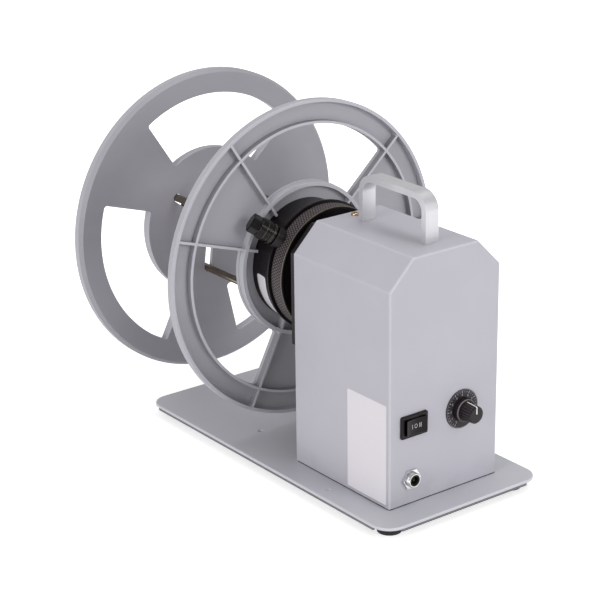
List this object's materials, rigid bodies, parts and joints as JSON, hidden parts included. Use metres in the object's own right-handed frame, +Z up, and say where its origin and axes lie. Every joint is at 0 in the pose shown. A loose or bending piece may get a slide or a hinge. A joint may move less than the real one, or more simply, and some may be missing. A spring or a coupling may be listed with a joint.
{
  "type": "label rewinder",
  "caption": "Motor-driven bench label rewinder: folded sheet housing with handle and controls, chuck with sliding core rods, and ribbed flanges that guide the roll.",
  "frame": {"origin": "on the ground, under the middle of the machine's overall box", "axes": "+Z up, +Y along the shaft from the control face to the outer flange, +X to the right of the control face seen from behind the flanges"},
  "size_m": [0.25, 0.343, 0.272],
  "materials": {
    "plate_paint": "satin powder coat",
    "housing_paint": "satin powder coat",
    "rubber": "matt",
    "screw_steel": "bright",
    "chrome": "polished",
    "aluminium": "brushed",
    "black_aluminium": "black anodised",
    "grey_plastic": "fine texture",
    "black_plastic": "fine texture",
    "gloss_black": "gloss",
    "dial_grey": "printed foil",
    "steel": "ground",
    "brass": "turned",
    "spider_rubber": "moulded",
    "board_green": "solder mask",
    "zinc_steel": "zinc plated"
  },
  "bodies": {
    "frame": {"base_plate": "plate_paint", "feet": "rubber", "foot_nuts": "screw_steel", "base_screws": "screw_steel", "housing_cover": "housing_paint", "rear_panel": "zinc_steel", "top_screw": "chrome", "carry_handle": "aluminium", "handle_screws": "screw_steel", "bearing_block": "black_aluminium", "bearing_screws": "screw_steel", "front_bearing_outer": "steel", "rear_bearing_outer": "steel", "gear_motor": "steel", "gearbox": "steel", "motor_bracket": "zinc_steel", "motor_screws": "screw_steel", "rocker_housing": "black_plastic", "dial_plate": "dial_grey", "potentiometer": "steel", "potentiometer_nut": "steel", "dc_jack": "chrome", "jack_nut": "chrome", "control_board": "board_green", "board_standoffs": "brass", "board_screws": "screw_steel", "board_capacitor": "gloss_black", "board_terminals": "board_green", "board_heat_sink": "aluminium"},
    "chuck": {"spindle": "steel", "motor_shaft": "steel", "coupling_motor_hub": "aluminium", "coupling_spider": "spider_rubber", "coupling_spindle_hub": "aluminium", "front_bearing_inner": "steel", "rear_bearing_inner": "steel", "chuck_backplate": "black_aluminium", "chuck_drum": "black_aluminium", "near_flange": "grey_plastic", "flange_screws": "screw_steel", "hub_nut": "screw_steel", "stop_collar": "aluminium"},
    "adjuster": {"adjuster_ring": "black_aluminium"},
    "rod_1": {"rod_carrier_1": "aluminium", "core_rod_1": "steel"},
    "rod_2": {"rod_carrier_2": "aluminium", "core_rod_2": "steel"},
    "rod_3": {"rod_carrier_3": "aluminium", "core_rod_3": "steel"},
    "lock": {"lock_knob": "black_plastic"},
    "outer_flange": {"far_flange": "grey_plastic"},
    "clamp": {"clamp_knob": "black_plastic", "clamp_knob_insert": "brass"},
    "rocker": {"rocker_paddle": "gloss_black"},
    "dial": {"speed_knob": "black_plastic", "potentiometer_shaft": "steel"}
  },
  "joints": [
    {"name": "chuck_spin", "type": "hinge", "parent": "frame", "child": "chuck", "pos_m": [0, 0.0035, 0.147], "axis": [0, 1, 0], "continuous": true},
    {"name": "ring_turn", "type": "hinge", "parent": "chuck", "child": "adjuster", "pos_m": [0, 0.0035, 0.147], "axis": [0, 1, 0], "range_deg": [0, 100]},
    {"name": "rod_slide_1", "type": "slide", "parent": "chuck", "child": "rod_1", "axis": [-0.7976, 0, 0.6032], "range_m": [-0.024, 0]},
    {"name": "rod_slide_2", "type": "slide", "parent": "chuck", "child": "rod_2", "axis": [-0.1236, 0, -0.9923], "range_m": [-0.024, 0]},
    {"name": "rod_slide_3", "type": "slide", "parent": "chuck", "child": "rod_3", "axis": [0.9212, 0, 0.3891], "range_m": [-0.024, 0]},
    {"name": "lock_turn", "type": "hinge", "parent": "chuck", "child": "lock", "pos_m": [-0.03988, -0.0005, 0.17716], "axis": [-0.7169, 0.4384, 0.5422], "range_deg": [0, 720]},
    {"name": "outer_flange_slide", "type": "slide", "parent": "chuck", "child": "outer_flange", "axis": [0, 1, 0], "range_m": [0, 0.06]},
    {"name": "clamp_turn", "type": "hinge", "parent": "outer_flange", "child": "clamp", "pos_m": [0, 0.0035, 0.147], "axis": [0, 1, 0], "range_deg": [0, 1080]},
    {"name": "rocker_tilt", "type": "hinge", "parent": "frame", "child": "rocker", "pos_m": [-0.0294, -0.1435, 0.0714], "axis": [0, 0, 1], "range_deg": [-8, 8]},
    {"name": "speed_turn", "type": "hinge", "parent": "frame", "child": "dial", "pos_m": [0.0163, -0.1465, 0.0715], "axis": [0, 1, 0], "range_deg": [-150, 150]}
  ],
  "couplings": [
    {"joint": "rod_slide_1", "follows": "ring_turn", "m_per_rad": -0.01375},
    {"joint": "rod_slide_2", "follows": "ring_turn", "m_per_rad": -0.01375},
    {"joint": "rod_slide_3", "follows": "ring_turn", "m_per_rad": -0.01375}
  ]
}
